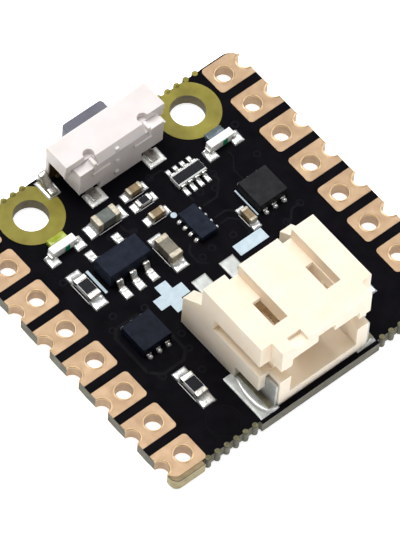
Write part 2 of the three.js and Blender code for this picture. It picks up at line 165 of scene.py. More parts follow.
LOOKS = {
    "mask": surface("mask", (3, 2, 6), (9, 7, 13), (0.5, 0.65), blotch=1.1, grain=0.12,
                    relief=0.003, extra={"Specular IOR Level": 0.04}),
    "track": surface("track", (6, 5, 10), (13, 11, 18), (0.44, 0.54), blotch=0.6, grain=0.1,
                     relief=0.002, extra={"Specular IOR Level": 0.06}),
    "laminate": surface("laminate", (82, 80, 67), (114, 112, 97), (0.6, 0.8), blotch=0.25,
                        grain=0.04, relief=0.01, stretch=(0.35, 0.35, 2.2)),
    "stub": surface("stub", (76, 72, 44), (122, 118, 80), (0.5, 0.7), blotch=0.25, grain=0.04,
                    relief=0.008),
    "bare_corner": surface("bare_corner", (136, 122, 80), (166, 152, 104), (0.4, 0.55), blotch=0.5,
                           grain=0.06, relief=0.004),
    "bare_strip": surface("bare_strip", (116, 96, 58), (146, 126, 82), (0.4, 0.55), blotch=0.5,
                          grain=0.06, relief=0.004),
    "bare_ring": surface("bare_ring", (128, 112, 30), (158, 142, 52), (0.36, 0.5), blotch=1.4,
                         grain=0.08, relief=0.002,
                         extra={"Subsurface Weight": 0.3, "Subsurface Scale": 0.5 * MM,
                                "Specular IOR Level": 0.25}),
    "hole_wall": surface("hole_wall", (74, 64, 30), (100, 88, 46), (0.6, 0.8), blotch=0.3, grain=0.04,
                         relief=0.008, stretch=(0.4, 0.4, 2.0)),
    "gold": surface("gold", (154, 127, 100), (171, 145, 116), (0.38, 0.5), metallic=0.75, blotch=0.7,
                    grain=0.03, relief=0.0012),
    # Lighter gold on the rolled hole rims: painted highlight.
    "gold_rim": surface("gold_rim", (188, 158, 120), (208, 178, 138), (0.3, 0.42), metallic=0.8,
                        blotch=0.4, grain=0.05, relief=0.002),
    # Dark metal for the socket's pin tails; on the switch's sides the same look is painted shade under the
    # lid.
    "dark_brass": surface("dark_brass", (58, 44, 26), (96, 76, 46), (0.35, 0.5), metallic=0.4, blotch=0.3,
                          grain=0.05, relief=0.003),
    "solder": surface("solder", (198, 200, 199), (226, 228, 227), (0.22, 0.34), metallic=0.7,
                      blotch=0.35, grain=0.2, relief=0.0025),
    "dull_solder": surface("dull_solder", (170, 173, 170), (194, 197, 194), (0.4, 0.55), metallic=0.45,
                           blotch=0.5, grain=0.12, relief=0.003),
    # A lighter, less metallic copy of solder: painted highlight on the tab fillets and the switch's joints.
    "bright_solder": surface("bright_solder", (226, 226, 222), (242, 242, 239), (0.3, 0.44), metallic=0.5,
                             blotch=0.5, grain=0.12, relief=0.002),
    # Darker tin for the low faces of the tab feet: painted shade under the housing.
    "foot_painted_shade": surface("foot_painted_shade", (104, 99, 78), (138, 132, 110), (0.35, 0.5), metallic=0.3,
                         blotch=0.3, grain=0.05, relief=0.003),
    "tin": surface("tin", (188, 186, 180), (222, 220, 214), (0.22, 0.36), metallic=0.95, blotch=0.3,
                   grain=0.03, relief=0.0015, stretch=(1, 0.2, 1)),
    "pin": surface("pin", (176, 160, 134), (206, 192, 166), (0.22, 0.36), metallic=0.95, blotch=0.3,
                   grain=0.03, relief=0.0015),
    "end_cap": surface("end_cap", (164, 155, 136), (196, 188, 170), (0.4, 0.52), metallic=0.5,
                       blotch=0.2, grain=0.03, relief=0.003),
    "ivory": moulded("ivory", (245, 229, 207), (250, 236, 217), 0.7),
    "white": moulded("white", (224, 217, 214), (233, 226, 225), 0.35),
    "knob": moulded("knob", (88, 88, 101), (108, 108, 121), 0.1, (0.45, 0.6)),
    "epoxy_blue": surface("epoxy_blue", (15, 21, 35), (26, 33, 49), (0.5, 0.64), blotch=0.5,
                          grain=0.03, relief=0.003, extra={"Specular IOR Level": 0.12}),
    "epoxy_navy": surface("epoxy_navy", (9, 14, 27), (19, 25, 40), (0.5, 0.64), blotch=0.5,
                          grain=0.03, relief=0.003, extra={"Specular IOR Level": 0.12}),
    "epoxy_grey": surface("epoxy_grey", (26, 26, 29), (39, 39, 43), (0.5, 0.64), blotch=0.5,
                          grain=0.03, relief=0.003, extra={"Specular IOR Level": 0.12}),
    "ceramic_brown": surface("ceramic_brown", (108, 88, 56), (142, 118, 80), (0.4, 0.52),
                             blotch=0.3, grain=0.03, relief=0.003, stretch=(1, 1, 0.3)),
    "ceramic_olive": surface("ceramic_olive", (98, 93, 79), (124, 117, 101), (0.4, 0.52),
                             blotch=0.3, grain=0.03, relief=0.003),
    "ceramic_slate": surface("ceramic_slate", (72, 78, 75), (94, 100, 95), (0.4, 0.52), blotch=0.3,
                             grain=0.03, relief=0.003),
    "alumina": surface("alumina", (205, 205, 203), (228, 228, 226), (0.5, 0.62), blotch=0.3,
                       grain=0.03, relief=0.003),
    "glaze": surface("glaze", (10, 11, 19), (18, 20, 30), (0.36, 0.48), blotch=0.3, grain=0.04,
                     relief=0.002, extra={"Specular IOR Level": 0.14}),
    "print": surface("print", (181, 200, 211), (195, 212, 222), (0.5, 0.62), blotch=0.3, grain=0.04,
                     relief=0.003),
    "lamp_white": moulded("lamp_white", (244, 243, 240), (252, 251, 249), 0.15),
    "lamp_yellow": surface("lamp_yellow", (172, 186, 48), (206, 216, 96), (0.12, 0.22), blotch=0.5,
                           grain=0.08, relief=0.001,
                           extra={"Transmission Weight": 0.35, "IOR": 1.5}),
    "lamp_clear": surface("lamp_clear", (98, 116, 124), (136, 152, 160), (0.1, 0.2), blotch=0.5,
                          grain=0.08, relief=0.001,
                          extra={"Transmission Weight": 0.5, "IOR": 1.5}),
    "lamp_mark": surface("lamp_mark", (10, 132, 88), (30, 168, 118), (0.35, 0.5), blotch=0.2,
                         grain=0.04, relief=0.002),
}


# ---- mesh helpers ----------------------------------------------------------

def finish_piece(name, shape, looks, body="board", sharp=SHARP):
    """Turns a shape in millimetres into a piece that rides on a CAD body."""
    bmesh.ops.recalc_face_normals(shape, faces=shape.faces)
    bmesh.ops.scale(shape, vec=(MM, MM, MM), verts=shape.verts)
    mesh = bpy.data.meshes.new(name)
    shape.to_mesh(mesh)
    shape.free()
    for look in looks if isinstance(looks, list) else [looks]:
        mesh.materials.append(LOOKS[look])
    mesh.shade_smooth()
    mesh.set_sharp_from_angle(angle=sharp)
    for face in mesh.polygons:
        if abs(face.normal.z) > LEVEL_NORMAL and face.area > LEVEL_AREA * MM * MM:
            face.use_smooth = False
    piece = bpy.data.objects.new(name, mesh)
    bpy.context.scene.collection.objects.link(piece)
    smoothing = piece.modifiers.new("flat_faces", "WEIGHTED_NORMAL")
    smoothing.keep_sharp = True
    smoothing.weight = 100
    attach(piece, body)
    return piece


def round_edges(shape, edges, width, segments=2):
    """Rounds the given edges to a radius of about width."""
    bmesh.ops.bevel(shape, geom=edges, offset=width, offset_type="OFFSET", segments=segments,
                    profile=0.5, affect="EDGES", clamp_overlap=True)


def softened(node, look, width=0.05, segments=2, body="board"):
    """A copy of a CAD node's shape with rounded edges, which stands for that node."""
    shape = bmesh.new()
    shape.from_mesh(frame["nodes"][node].data)
    bmesh.ops.scale(shape, vec=(1 / MM, 1 / MM, 1 / MM), verts=shape.verts)
    bmesh.ops.remove_doubles(shape, verts=shape.verts, dist=MERGE)
    bmesh.ops.dissolve_limit(shape, angle_limit=SAME_PLANE, verts=shape.verts, edges=shape.edges)
    corners = [edge for edge in shape.edges if edge.is_manifold and edge.calc_face_angle() > SHARP]
    round_edges(shape, corners, width, segments)
    piece = finish_piece(f"{node}_skin", shape, look, body)
    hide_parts(node)
    return piece


def block(shape, low, high, width=0.03, segments=2):
    """Adds a box with rounded edges."""
    low, high = Vector(low), Vector(high)
    made = bmesh.ops.create_cube(shape, size=1.0)
    size = high - low
    bmesh.ops.scale(shape, vec=size, verts=made["verts"])
    bmesh.ops.translate(shape, vec=(low + high) / 2, verts=made["verts"])
    edges = list({edge for vert in made["verts"] for edge in vert.link_edges})
    round_edges(shape, edges, min(width, min(size) * 0.45), segments)


def plate(shape, outline, low, high):
    """Adds a flat plate with the given outline in X and Y."""
    bottom = [shape.verts.new((x, y, low)) for x, y in outline]
    top = [shape.verts.new((x, y, high)) for x, y in outline]
    shape.faces.new(bottom[::-1])
    shape.faces.new(top)
    count = len(outline)
    for at in range(count):
        after = (at + 1) % count
        shape.faces.new((bottom[at], bottom[after], top[after], top[at]))


def spin(shape, profile, x, y, steps=48, start=0.0, turn=2 * math.pi):
    """Adds a ring, or part of one: a profile of radius and height turned about an upright axis."""
    whole = turn >= 2 * math.pi
    rings = []
    for step in range(steps if whole else steps + 1):
        angle = start + turn * step / steps
        rings.append([
            shape.verts.new((x + radius * math.cos(angle), y + radius * math.sin(angle), height))
            for radius, height in profile
        ])
    pairs = list(zip(rings, rings[1:] + rings[:1] if whole else rings[1:]))
    for ring, after in pairs:
        for at in range(len(profile)):
            to = (at + 1) % len(profile)
            shape.faces.new((ring[at], ring[to], after[to], after[at]))
    if not whole:
        shape.faces.new(rings[0][::-1])
        shape.faces.new(rings[-1])


def bead(shape, x, y, radius, rise):
    """Adds a round bead of solder, half sunk in the board."""
    made = bmesh.ops.create_uvsphere(shape, u_segments=20, v_segments=12, radius=1.0)
    bmesh.ops.scale(shape, vec=(radius, radius, rise), verts=made["verts"])
    bmesh.ops.translate(shape, vec=(x, y, TOP), verts=made["verts"])


def pool(shape, x, y, half, rise, climb=0.0, towards=(0, 1), steps=18):
    """Adds solder on a land: rounded at its rim, and drawn up at the side it wets."""
    crowding, squareness, steepness, waist = 0.7, 6, 4, 0.6
    grid = []
    for row in range(steps + 1):
        line = []
        for column in range(steps + 1):
            u = 2 * column / steps - 1
            v = 2 * row / steps - 1
            u = math.copysign(abs(u) ** crowding, u)
            v = math.copysign(abs(v) ** crowding, v)
            dome = math.sqrt(max(0.0, (1 - u ** squareness) * (1 - v ** squareness)))
            near = (u * towards[0] + v * towards[1] + 1) / 2
            across = 1 - waist * abs(u * towards[1] + v * towards[0]) ** 3
            height = rise * dome + climb * max(0.0, near) ** steepness * across
            line.append(shape.verts.new((x + u * half[0], y + v * half[1], TOP + height)))
        grid.append(line)
    for row in range(steps):
        for column in range(steps):
            shape.faces.new((grid[row][column], grid[row][column + 1],
                             grid[row + 1][column + 1], grid[row + 1][column]))
    rim_edges = [edge for line in grid for vert in line for edge in vert.link_edges if edge.is_boundary]
    skirt = bmesh.ops.extrude_edge_only(shape, edges=list(set(rim_edges)))["geom"]
    lowered = [item for item in skirt if isinstance(item, bmesh.types.BMVert)]
    for vert in lowered:
        vert.co.z = BURIED
    loop = [item for item in skirt if isinstance(item, bmesh.types.BMEdge) and item.is_boundary]
    bmesh.ops.contextual_create(shape, geom=loop)


def track(shape, points, width):
    """Adds a raised conductor along points, with mitred corners."""
    sharpest_mitre = 0.5
    left, right = [], []
    for at, point in enumerate(points):
        before = Vector(points[max(at - 1, 0)])
        after = Vector(points[min(at + 1, len(points) - 1)])
        here = Vector(point)
        into = (here - before).normalized() if at else (after - here).normalized()
        out = (after - here).normalized() if at < len(points) - 1 else into
        along = (into + out).normalized()
        reach = width / 2 / max(sharpest_mitre, along.dot(into))
        side = Vector((-along.y, along.x)) * reach
        left.append(here + side)
        right.append(here - side)
    plate(shape, [tuple(point) for point in left + right[::-1]], BURIED, TOP + PROUD)


# ---- board -----------------------------------------------------------------

# The screw mounts lie on the lands, LAND_OFFSET outward of the middles of the holes. Walls within HOLE_REACH
# of a middle are the hole's own.
LAND_OFFSET = 1.5
SCREW_LANDS = [Vector(mount["pos_m"][:2]) / MM for mount in frame["record"]["mounts"]
               if mount["name"].startswith("screw_land")]
SCREW_HOLES = [Vector((land.x - math.copysign(LAND_OFFSET, land.x), land.y)) for land in SCREW_LANDS]
HOLE_REACH = 1.3
RING_INNER = 1.035
RING_OUTER = 1.95
RING_STEPS = 72

# The tabs broke off along these two lines: first stub, number of stubs and line, the same on both sides.
NEAR_LINE = -9.93
FAR_LINE = 9.95
BREAKOFF_STUBS = [(4.6, 6, NEAR_LINE), (4.95, 5, FAR_LINE)]
STUB_PITCH = 0.67
STUB_OUT = 0.01
STUB_SECTION = [(0.02, BURIED), (0.02, TOP + PROUD), (0.17, TOP + PROUD), (0.185, BURIED)]

# Bare laminate at the near corners: outward of BARE_FROM, on walls nearer than BARE_BEFORE and on the top
# nearer than STRIP_INNER.
BARE_FROM = 8.35
BARE_BEFORE = -9.2
STRIP_INNER = -9.45
CORNER_RADIUS = 0.5


def dress_board():
    """Black mask above and below, with glass-fibre laminate showing round the edge."""
    looks = ["mask", "laminate", "hole_wall", "bare_corner"]
    piece = softened("circuit_board", looks, 0.015, 1)
    for face in piece.data.polygons:
        centre = face.center.xy / MM
        if abs(face.normal.z) > FACES_UP:
            look = "mask"
        elif min((centre - hole).length for hole in SCREW_HOLES) < HOLE_REACH:
            look = "hole_wall"
        elif abs(centre.x) > BARE_FROM and centre.y < BARE_BEFORE:
            look = "bare_corner"
        else:
            look = "laminate"
        face.material_index = looks.index(look)


def screw_ring(name, centre):
    """Bare laminate round a screw hole and down its wall, cut off at the far edge."""
    lining, sleeve_foot, brim = 1.07, 0.03, TOP + PROUD / 2
    lip, shoulder = RING_INNER + 0.005, RING_INNER + 0.03
    shape = bmesh.new()
    sleeve = [(RING_INNER, sleeve_foot), (RING_INNER, brim), (lining, brim), (lining, sleeve_foot)]
    spin(shape, sleeve, centre.x, centre.y, RING_STEPS)
    finish_piece(f"{name}_wall", shape, "hole_wall")
    shape = bmesh.new()
    profile = [(lip, brim), (shoulder, TOP + PROUD), (RING_OUTER, TOP + PROUD),
               (RING_OUTER, TOP - PROUD), (lip, TOP - PROUD)]
    spin(shape, profile, centre.x, centre.y, RING_STEPS)
    far = FAR_LINE - PROUD
    for vert in shape.verts:
        vert.co.y = min(vert.co.y, far)
    finish_piece(name, shape, "bare_ring")


def bare_corners():
    """Uncoated laminate beyond the pads nearest the socket and on the stubs of the break-off tabs."""
    inset, arc_steps = 0.02, 8
    near = BOARD_LOW.y + inset
    middle = Vector((BOARD_HIGH.x - inset - CORNER_RADIUS, near + CORNER_RADIUS))
    last = math.asin((STRIP_INNER - middle.y) / CORNER_RADIUS)
    outline = [(BARE_FROM, STRIP_INNER), (BARE_FROM, near)]
    for step in range(arc_steps + 1):
        angle = -math.pi / 2 + (last + math.pi / 2) * step / arc_steps
        outline.append((middle.x + CORNER_RADIUS * math.cos(angle),
                        middle.y + CORNER_RADIUS * math.sin(angle)))
    strips, near_stubs, far_stubs = bmesh.new(), bmesh.new(), bmesh.new()
    for across in (-1, 1):
        plate(strips, [(across * x, y) for x, y in outline], BURIED, TOP + PROUD)
        for first, count, line in BREAKOFF_STUBS:
            stubs = near_stubs if line < 0 else far_stubs
            for step in range(count):
                x = across * (first + step * STUB_PITCH)
                spin(stubs, STUB_SECTION, x, line + math.copysign(STUB_OUT, line), steps=16)
    finish_piece("board_corners", strips, "bare_strip")
    finish_piece("board_stubs_near", near_stubs, "stub")
    finish_piece("board_stubs_far", far_stubs, "bare_ring")


INK_TOP = TOP + 0.014
PLUS_AT = (-2.91, -0.7)
PLUS_ARM = 1.03
PLUS_BAR = 0.39
DOT_AT = (0.6, 3.35)
DOT_RADII = (0.2, 0.18)

# Name, near left corner and size of each printed bar.
PRINTED_BARS = [
    ("mark_minus", (1.85, -1.05), (2.05, 0.78)),
    ("mark_line_left", (-5.67, 1.7), (0.18, 1.8)),
    ("mark_line_right", (4.3, 0.45), (0.1, 2.05)),
]


def printed_marks():
    """Generic polarity signs, package guides and a pin-one dot."""
    arm, bar = PLUS_ARM, PLUS_BAR
    x, y = PLUS_AT
    plus = [(x - bar, y + arm), (x - bar, y + bar), (x - arm, y + bar), (x - arm, y - bar),
            (x - bar, y - bar), (x - bar, y - arm), (x + bar, y - arm), (x + bar, y - bar),
            (x + arm, y - bar), (x + arm, y + bar), (x + bar, y + bar), (x + bar, y + arm)]
    shape = bmesh.new()
    plate(shape, plus[::-1], BURIED, INK_TOP)
    finish_piece("mark_plus", shape, "print")
    for name, corner, size in PRINTED_BARS:
        shape = bmesh.new()
        block(shape, (*corner, BURIED), (corner[0] + size[0], corner[1] + size[1], INK_TOP), 0.01, 1)
        finish_piece(name, shape, "print")
    shape = bmesh.new()
    bmesh.ops.create_cone(shape, cap_ends=True, segments=32, radius1=DOT_RADII[0], radius2=DOT_RADII[1],
                          depth=INK_TOP - BURIED,
                          matrix=Matrix.Translation((*DOT_AT, (BURIED + INK_TOP) / 2)))
    finish_piece("mark_dot", shape, "print")


VIA_SECTION = [(0.12, BURIED), (0.14, TOP + PROUD), (0.24, TOP + 0.014), (0.28, BURIED)]
VIAS = [(-4.55, -0.35), (-4.3, -3.9), (-3.6, -4.6), (-6.9, -0.4), (-6.3, 0.3), (-4.0, -2.9), (-7.1, 3.7),
        (2.75, 3.6), (3.6, 3.3), (2.4, 0.3), (0.1, 0.2), (4.1, 4.1), (6.9, 3.6), (7.2, 5.9), (6.7, -0.4),
        (-1.9, 3.9), (-3.1, 4.4), (1.1, 6.1), (-4.6, -5.4), (-6.6, -4.4), (0.9, 0.35), (5.3, -0.9)]
TARGET_AT = (-5.8, -8.7)
TARGET_SECTION = [(0.97, BURIED), (0.985, TOP + PROUD), (1.015, TOP + PROUD), (1.03, BURIED)]

# Width of each track and the points that it runs through.
TRACKS = [
    (0.2, [(-7.1, -3.7), (-7.1, -0.9), (-6.7, -0.45), (-5.1, -0.45)]),
    (0.2, [(-7.1, -3.7), (-6.5, -4.3), (-5.0, -4.3), (-4.5, -3.8), (-4.5, -0.4)]),
    (0.07, [(5.75, 4.75), (5.75, 4.3), (5.2, 3.6), (5.2, 2.6)]),
    (0.15, [(2.1, 3.4), (2.1, 3.9), (2.5, 4.2)]),
    (0.15, [(2.3, 1.3), (2.9, 1.3), (3.3, 0.9), (3.3, -0.1), (2.7, -0.5)]),
    (0.15, [(2.3, 1.8), (3.1, 1.8), (3.55, 1.4)]),
    (0.15, [(2.3, 2.8), (3.3, 2.8), (4.1, 3.6), (4.1, 4.1)]),
    (0.15, [(0.1, 1.3), (-0.3, 0.9), (-0.3, 0.1), (0.1, -0.3)]),
    (0.15, [(-1.6, 3.9), (-1.9, 3.9), (-2.2, 4.2), (-2.2, 4.7)]),
    (0.2, [(-2.3, -1.9), (-2.3, -2.4), (-3.1, -3.2)]),
    (0.15, [(0.9, 5.9), (1.1, 6.1), (1.9, 6.1), (2.3, 5.7)]),
    (0.15, [(6.7, -0.4), (6.1, -0.4), (5.6, -0.9), (5.3, -0.9)]),
]


def conductors():
    """Copper tracks, plugged vias and a target ring, which stand up faintly under the mask."""
    shape = bmesh.new()
    for width, points in TRACKS:
        track(shape, points, width)
    finish_piece("board_tracks", shape, "track")
    shape = bmesh.new()
    for x, y in VIAS:
        spin(shape, VIA_SECTION, x, y, steps=24)
    finish_piece("board_vias", shape, "track")
    shape = bmesh.new()
    spin(shape, TARGET_SECTION, *TARGET_AT, steps=64)
    finish_piece("board_target", shape, "track")


PADS_A_SIDE = 8
HOLE_ROW = 8.89
HOLE_RADIUS = 0.52
NOTCH_RADIUS = 0.5

# The rolled rim of a plated hole: how far out from its wall and up from the board each point lies.
RIM_SECTION = [(-0.015, -0.06), (-0.015, 0.03), (0.02, 0.058), (0.06, 0.06), (0.11, 0.036), (0.11, -0.06)]


def rim(radius):
    """Section of the rolled copper rim of a plated hole."""
    return [(radius + out, TOP + up) for out, up in RIM_SECTION]


def edge_pads():
    """Gold pads down both sides, with a rim round every hole and half-hole."""
    for side, way in (("left", -1), ("right", 1)):
        shape = bmesh.new()
        for index in range(1, PADS_A_SIDE + 1):
            pad = f"pad_{side}_{index}"
            softened(pad, "gold", 0.03, 2)
            low, high = node_box(pad)
            y = (low.y + high.y) / 2
            spin(shape, rim(HOLE_RADIUS), way * HOLE_ROW, y, steps=40)
            spin(shape, rim(NOTCH_RADIUS), way * BOARD_HIGH.x, y, steps=24, start=way * math.pi / 2,
                 turn=math.pi)
        # The rims are lighter than the pads: painted highlight.
        finish_piece(f"pad_rims_{side}", shape, "gold_rim")


# ---- battery socket --------------------------------------------------------

# The lands are drawn about this X, which is not quite the middle of the socket.
SOCKET_LANDS = 0.03
LAND_RISE = 0.05
PIN_LAND = 1.0
PIN_LAND_Y = -1.45
PIN_LAND_HALF = (0.51, 0.8)
TAB_LAND = 3.49
TAB_LAND_Y = -8.24
TAB_LAND_HALF = (0.68, 1.67)
TAB_FOOT_TOP = 0.3
SIDE_LAND_AT = (5.9, -7.15)
SIDE_LAND_HALF = (0.44, 0.36)

# Beads of solder along the land of each tab and round its near end: points, half width and rise.
TAB_BEADS = [
    ([(-3.5, -7.05), (-3.68, -7.9), (-3.72, -8.6), (-3.66, -9.2), (-3.42, -9.72), (-2.9, -9.84)],
     0.22, 0.2),
    ([(4.08, -7.05), (4.1, -8.6), (4.08, -9.3), (3.9, -9.7), (3.2, -9.82)],
     0.12, 0.16),
]


def curve_through(points, steps=8):
    """Points along a smooth curve that passes through the given ones."""
    path = []
    padded = [points[0]] + points + [points[-1]]
    for at in range(len(points) - 1):
        before, start, end, after = [Vector(point) for point in padded[at:at + 4]]
        slope = end - before
        bend = 2 * before - 5 * start + 4 * end - after
        twist = 3 * start - before - 3 * end + after
        for step in range(steps):
            t = step / steps
            path.append(0.5 * (2 * start + slope * t + bend * t ** 2 + twist * t ** 3))
    path.append(Vector(points[-1]))
    return path


def ridge(shape, points, half, rise):
    """Adds a bead of solder along points: half round, and narrower towards both ends."""
    arc_steps, sunk, lift = 8, 0.02, 0.02
    tip, span, fullness = 0.05, 0.9, 0.6
    path = curve_through(points)
    rings = []
    for at, here in enumerate(path):
        ahead = (path[min(at + 1, len(path) - 1)] - path[max(at - 1, 0)]).normalized()
        side = Vector((-ahead.y, ahead.x))
        taper = math.sin(math.pi * (tip + span * at / (len(path) - 1))) ** fullness
        ring = []
        for turn in range(arc_steps + 1):
            angle = math.pi * turn / arc_steps
            spot = here + side * half * taper * math.cos(angle)
            ring.append(shape.verts.new((spot.x, spot.y, TOP + rise * taper * math.sin(angle) + lift)))
        for way in (-1, 1):
            spot = here + side * half * taper * way
            ring.append(shape.verts.new((spot.x, spot.y, TOP - sunk)))
        rings.append(ring)
    for ring, after in zip(rings, rings[1:]):
        for at in range(len(ring)):
            to = (at + 1) % len(ring)
            shape.faces.new((ring[at], ring[to], after[to], after[at]))
    shape.faces.new(rings[0][::-1])
    shape.faces.new(rings[-1])


def battery_socket():
    """Ivory housing, its pins and solder tabs, and the lands and solder under them."""
    end_inset, end_depth, end_proud, end_top = 0.02, 0.1, 0.03, TOP + 0.24
    softened("socket_housing", "ivory", 0.07, 3)
    lands, ends, beads = bmesh.new(), bmesh.new(), bmesh.new()
    for side, way in (("left", -1), ("right", 1)):
        softened(f"socket_pin_{side}", "pin", 0.04, 2)
        tab = softened(f"socket_tab_{side}", ["dull_solder", "foot_painted_shade"], 0.04, 2)
        # The low level faces of each tab's foot take the darker look, painted shade under the housing.
        for face in tab.data.polygons:
            if face.center.z / MM < TOP + TAB_FOOT_TOP and face.normal.z > FACES_UP:
                face.material_index = 1
        pool(lands, SOCKET_LANDS + way * PIN_LAND, PIN_LAND_Y, PIN_LAND_HALF, LAND_RISE, climb=0.03,
             towards=(0, -1))
        pool(lands, SOCKET_LANDS + way * TAB_LAND, TAB_LAND_Y, TAB_LAND_HALF, LAND_RISE)
        low, high = node_box(f"socket_pin_{side}")
        block(ends, (low.x + end_inset, high.y - end_depth, FOOT),
              (high.x - end_inset, high.y + end_proud, end_top), 0.03, 2)
    for points, half, rise in TAB_BEADS:
        ridge(beads, points, half, rise)
    finish_piece("socket_lands", lands, "dull_solder", sharp=SOLDER_SHARP)
    finish_piece("socket_pin_ends", ends, "dark_brass")
    # The tab fillets use the lighter solder, a painted highlight.
    finish_piece("socket_tab_solder", beads, "bright_solder", sharp=SOLDER_SHARP)
    shape = bmesh.new()
    pool(shape, *SIDE_LAND_AT, SIDE_LAND_HALF, rise=0.08, climb=0.1)
    finish_piece("side_land", shape, "solder", sharp=SOLDER_SHARP)


# ---- slide switch ----------------------------------------------------------

# A thin dark plate at each side, painted shade beneath the lid, and a small hook before it. Depths are
# measured in from the cover's far face, levels up from the board.
SHADE_INNER = 2.84
SHADE_MARGIN = 0.03
SHADE_DEPTHS = (0.38, 0.33)
SHADE_LEVELS = (0.36, 1.93)
HOOK_X = 3.1
HOOK_HALF = 0.12
HOOK_DEPTHS = (0.72, 0.5)
HOOK_LEVELS = (0.5, 0.72)

TERMINAL_LANDS_X = (-2.1, 2.12)
TERMINAL_LAND_Y = 6.98
TERMINAL_LAND_HALF = (0.6, 0.5)
ANCHOR_LANDS_X = (-3.85, 3.85)
ANCHOR_LAND_Y = 9.1
ANCHOR_LAND_HALF = (0.42, 0.7)


def slide_switch():
    """White base and lid, the grey slide that moves, and the metal and solder at its feet."""
    softened("switch_base", "white", 0.04, 2)
    softened("switch_cover", "white", 0.05, 3)
    softened("switch_slider", "knob", 0.06, 3, body="slider")
    softened("switch_wiper", "tin", 0.01, 1, body="slider")
    for side in ("left", "right"):
        softened(f"switch_terminal_{side}", "tin", 0.03, 2)
        softened(f"switch_anchor_{side}", "tin", 0.12, 4)
    high = node_box("switch_cover")[1]
    shape = bmesh.new()
    for side in (-1, 1):
        inner, outer = sorted((side * SHADE_INNER, side * (high.x - SHADE_MARGIN)))
        block(shape, (inner, high.y - SHADE_DEPTHS[0], TOP + SHADE_LEVELS[0]),
              (outer, high.y - SHADE_DEPTHS[1], TOP + SHADE_LEVELS[1]), 0.01, 1)
        block(shape, (side * HOOK_X - HOOK_HALF, high.y - HOOK_DEPTHS[0], TOP + HOOK_LEVELS[0]),
              (side * HOOK_X + HOOK_HALF, high.y - HOOK_DEPTHS[1], TOP + HOOK_LEVELS[1]), 0.05, 2)
    # The dark plates are painted shade beneath the lid's overhang.
    finish_piece("switch_side_shade_and_hooks", shape, "dark_brass")
    shape = bmesh.new()
    for x in TERMINAL_LANDS_X:
        pool(shape, x, TERMINAL_LAND_Y, TERMINAL_LAND_HALF, rise=0.08, climb=0.1)
    for x in ANCHOR_LANDS_X:
        pool(shape, x, ANCHOR_LAND_Y, ANCHOR_LAND_HALF, rise=0.12, climb=0.2,
             towards=(math.copysign(1, -x), 0))
    # The switch's joints use the lighter solder, a painted highlight.
    finish_piece("switch_solder", shape, "bright_solder", sharp=SOLDER_SHARP)


# ---- surface-mount parts ---------------------------------------------------

# Shares of a chip's length, width or height.
CAP_SHARE = 0.23
CAP_COVERS = 0.4
CHIP_BODY_WIDTH = 0.93
CHIP_BODY_TOP = 0.96
FILM_HALF_WIDTH = 0.43
FILM_LEVELS = (0.93, 0.98)
CLIMB_SHARE = 0.5

# Lands reach twice LAND_UNDER in under a chip's ends, and LAND_MARGIN past its sides, where a thin pale
# line also runs.
LAND_UNDER = 0.05
LAND_MARGIN = 0.06
OUTLINE_HALF = 0.022


def in_line(along, length_at, width_at, height):
    """A point given along and across a chip, turned to the chip's own direction."""
    return (length_at, width_at, height) if along == 0 else (width_at, length_at, height)


def chip(node, body_look, overhang, top_look=None):
    """A two-terminal chip: body, plated ends, and solder reaching out past each end by overhang."""
    low, high = node_box(node)
    size = high - low
    centre = (low + high) / 2
    along = 0 if size.x > size.y else 1
    across = 1 - along
    length, width, height = size[along], size[across], size.z
    cap = length * CAP_SHARE
    bodies, caps, joints, lines = bmesh.new(), bmesh.new(), bmesh.new(), bmesh.new()

    def solid(shape, start, end, wide, bottom, top, edge, segments=2):
        """Adds a box that runs from start to end along the chip, measured from its middle."""
        low_corner = in_line(along, centre[along] + start, centre[across] - wide / 2, bottom)
        high_corner = in_line(along, centre[along] + end, centre[across] + wide / 2, top)
        block(shape, low_corner, high_corner, edge, segments)

    solid(bodies, -length / 2 + cap * CAP_COVERS, length / 2 - cap * CAP_COVERS, width * CHIP_BODY_WIDTH,
          TOP + 0.03, TOP + height * CHIP_BODY_TOP, 0.03)
    for side in (-1, 1):
        near, far = sorted((side * (length / 2 - cap), side * length / 2))
        solid(caps, near, far, width, FOOT, TOP + height, 0.07, 3)
        middle = side * (length / 2 + overhang / 2 - LAND_UNDER)
        place = in_line(along, centre[along] + middle, centre[across], 0)
        half = in_line(along, overhang / 2 + LAND_UNDER, width / 2 + LAND_MARGIN, 0)
        towards = in_line(along, -side, 0, 0)
        pool(joints, place[0], place[1], half[:2], 0.09, height * CLIMB_SHARE, towards[:2])
        rail = width / 2 + LAND_MARGIN
        spread = in_line(along, 0, side * rail, 0)
        thin = in_line(along, length / 2, OUTLINE_HALF, 0)
        block(lines, (centre.x + spread[0] - thin[0], centre.y + spread[1] - thin[1], BURIED),
              (centre.x + spread[0] + thin[0], centre.y + spread[1] + thin[1], FOOT), 0.01, 1)
    body = finish_piece(f"{node}_body", bodies, body_look)
    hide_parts(node)
    finish_piece(f"{node}_ends", caps, "end_cap" if top_look is None else "tin")
    finish_piece(f"{node}_solder", joints, "solder", sharp=SOLDER_SHARP)
    finish_piece(f"{node}_outline", lines, "alumina")
    if top_look:
        film = bmesh.new()
        low_corner = in_line(along, centre[along] - length / 2 + cap,
                             centre[across] - width * FILM_HALF_WIDTH, TOP + height * FILM_LEVELS[0])
        high_corner = in_line(along, centre[along] + length / 2 - cap,
                              centre[across] + width * FILM_HALF_WIDTH, TOP + height * FILM_LEVELS[1])
        block(film, low_corner, high_corner, 0.012, 2)
        finish_piece(f"{node}_film", film, top_look)


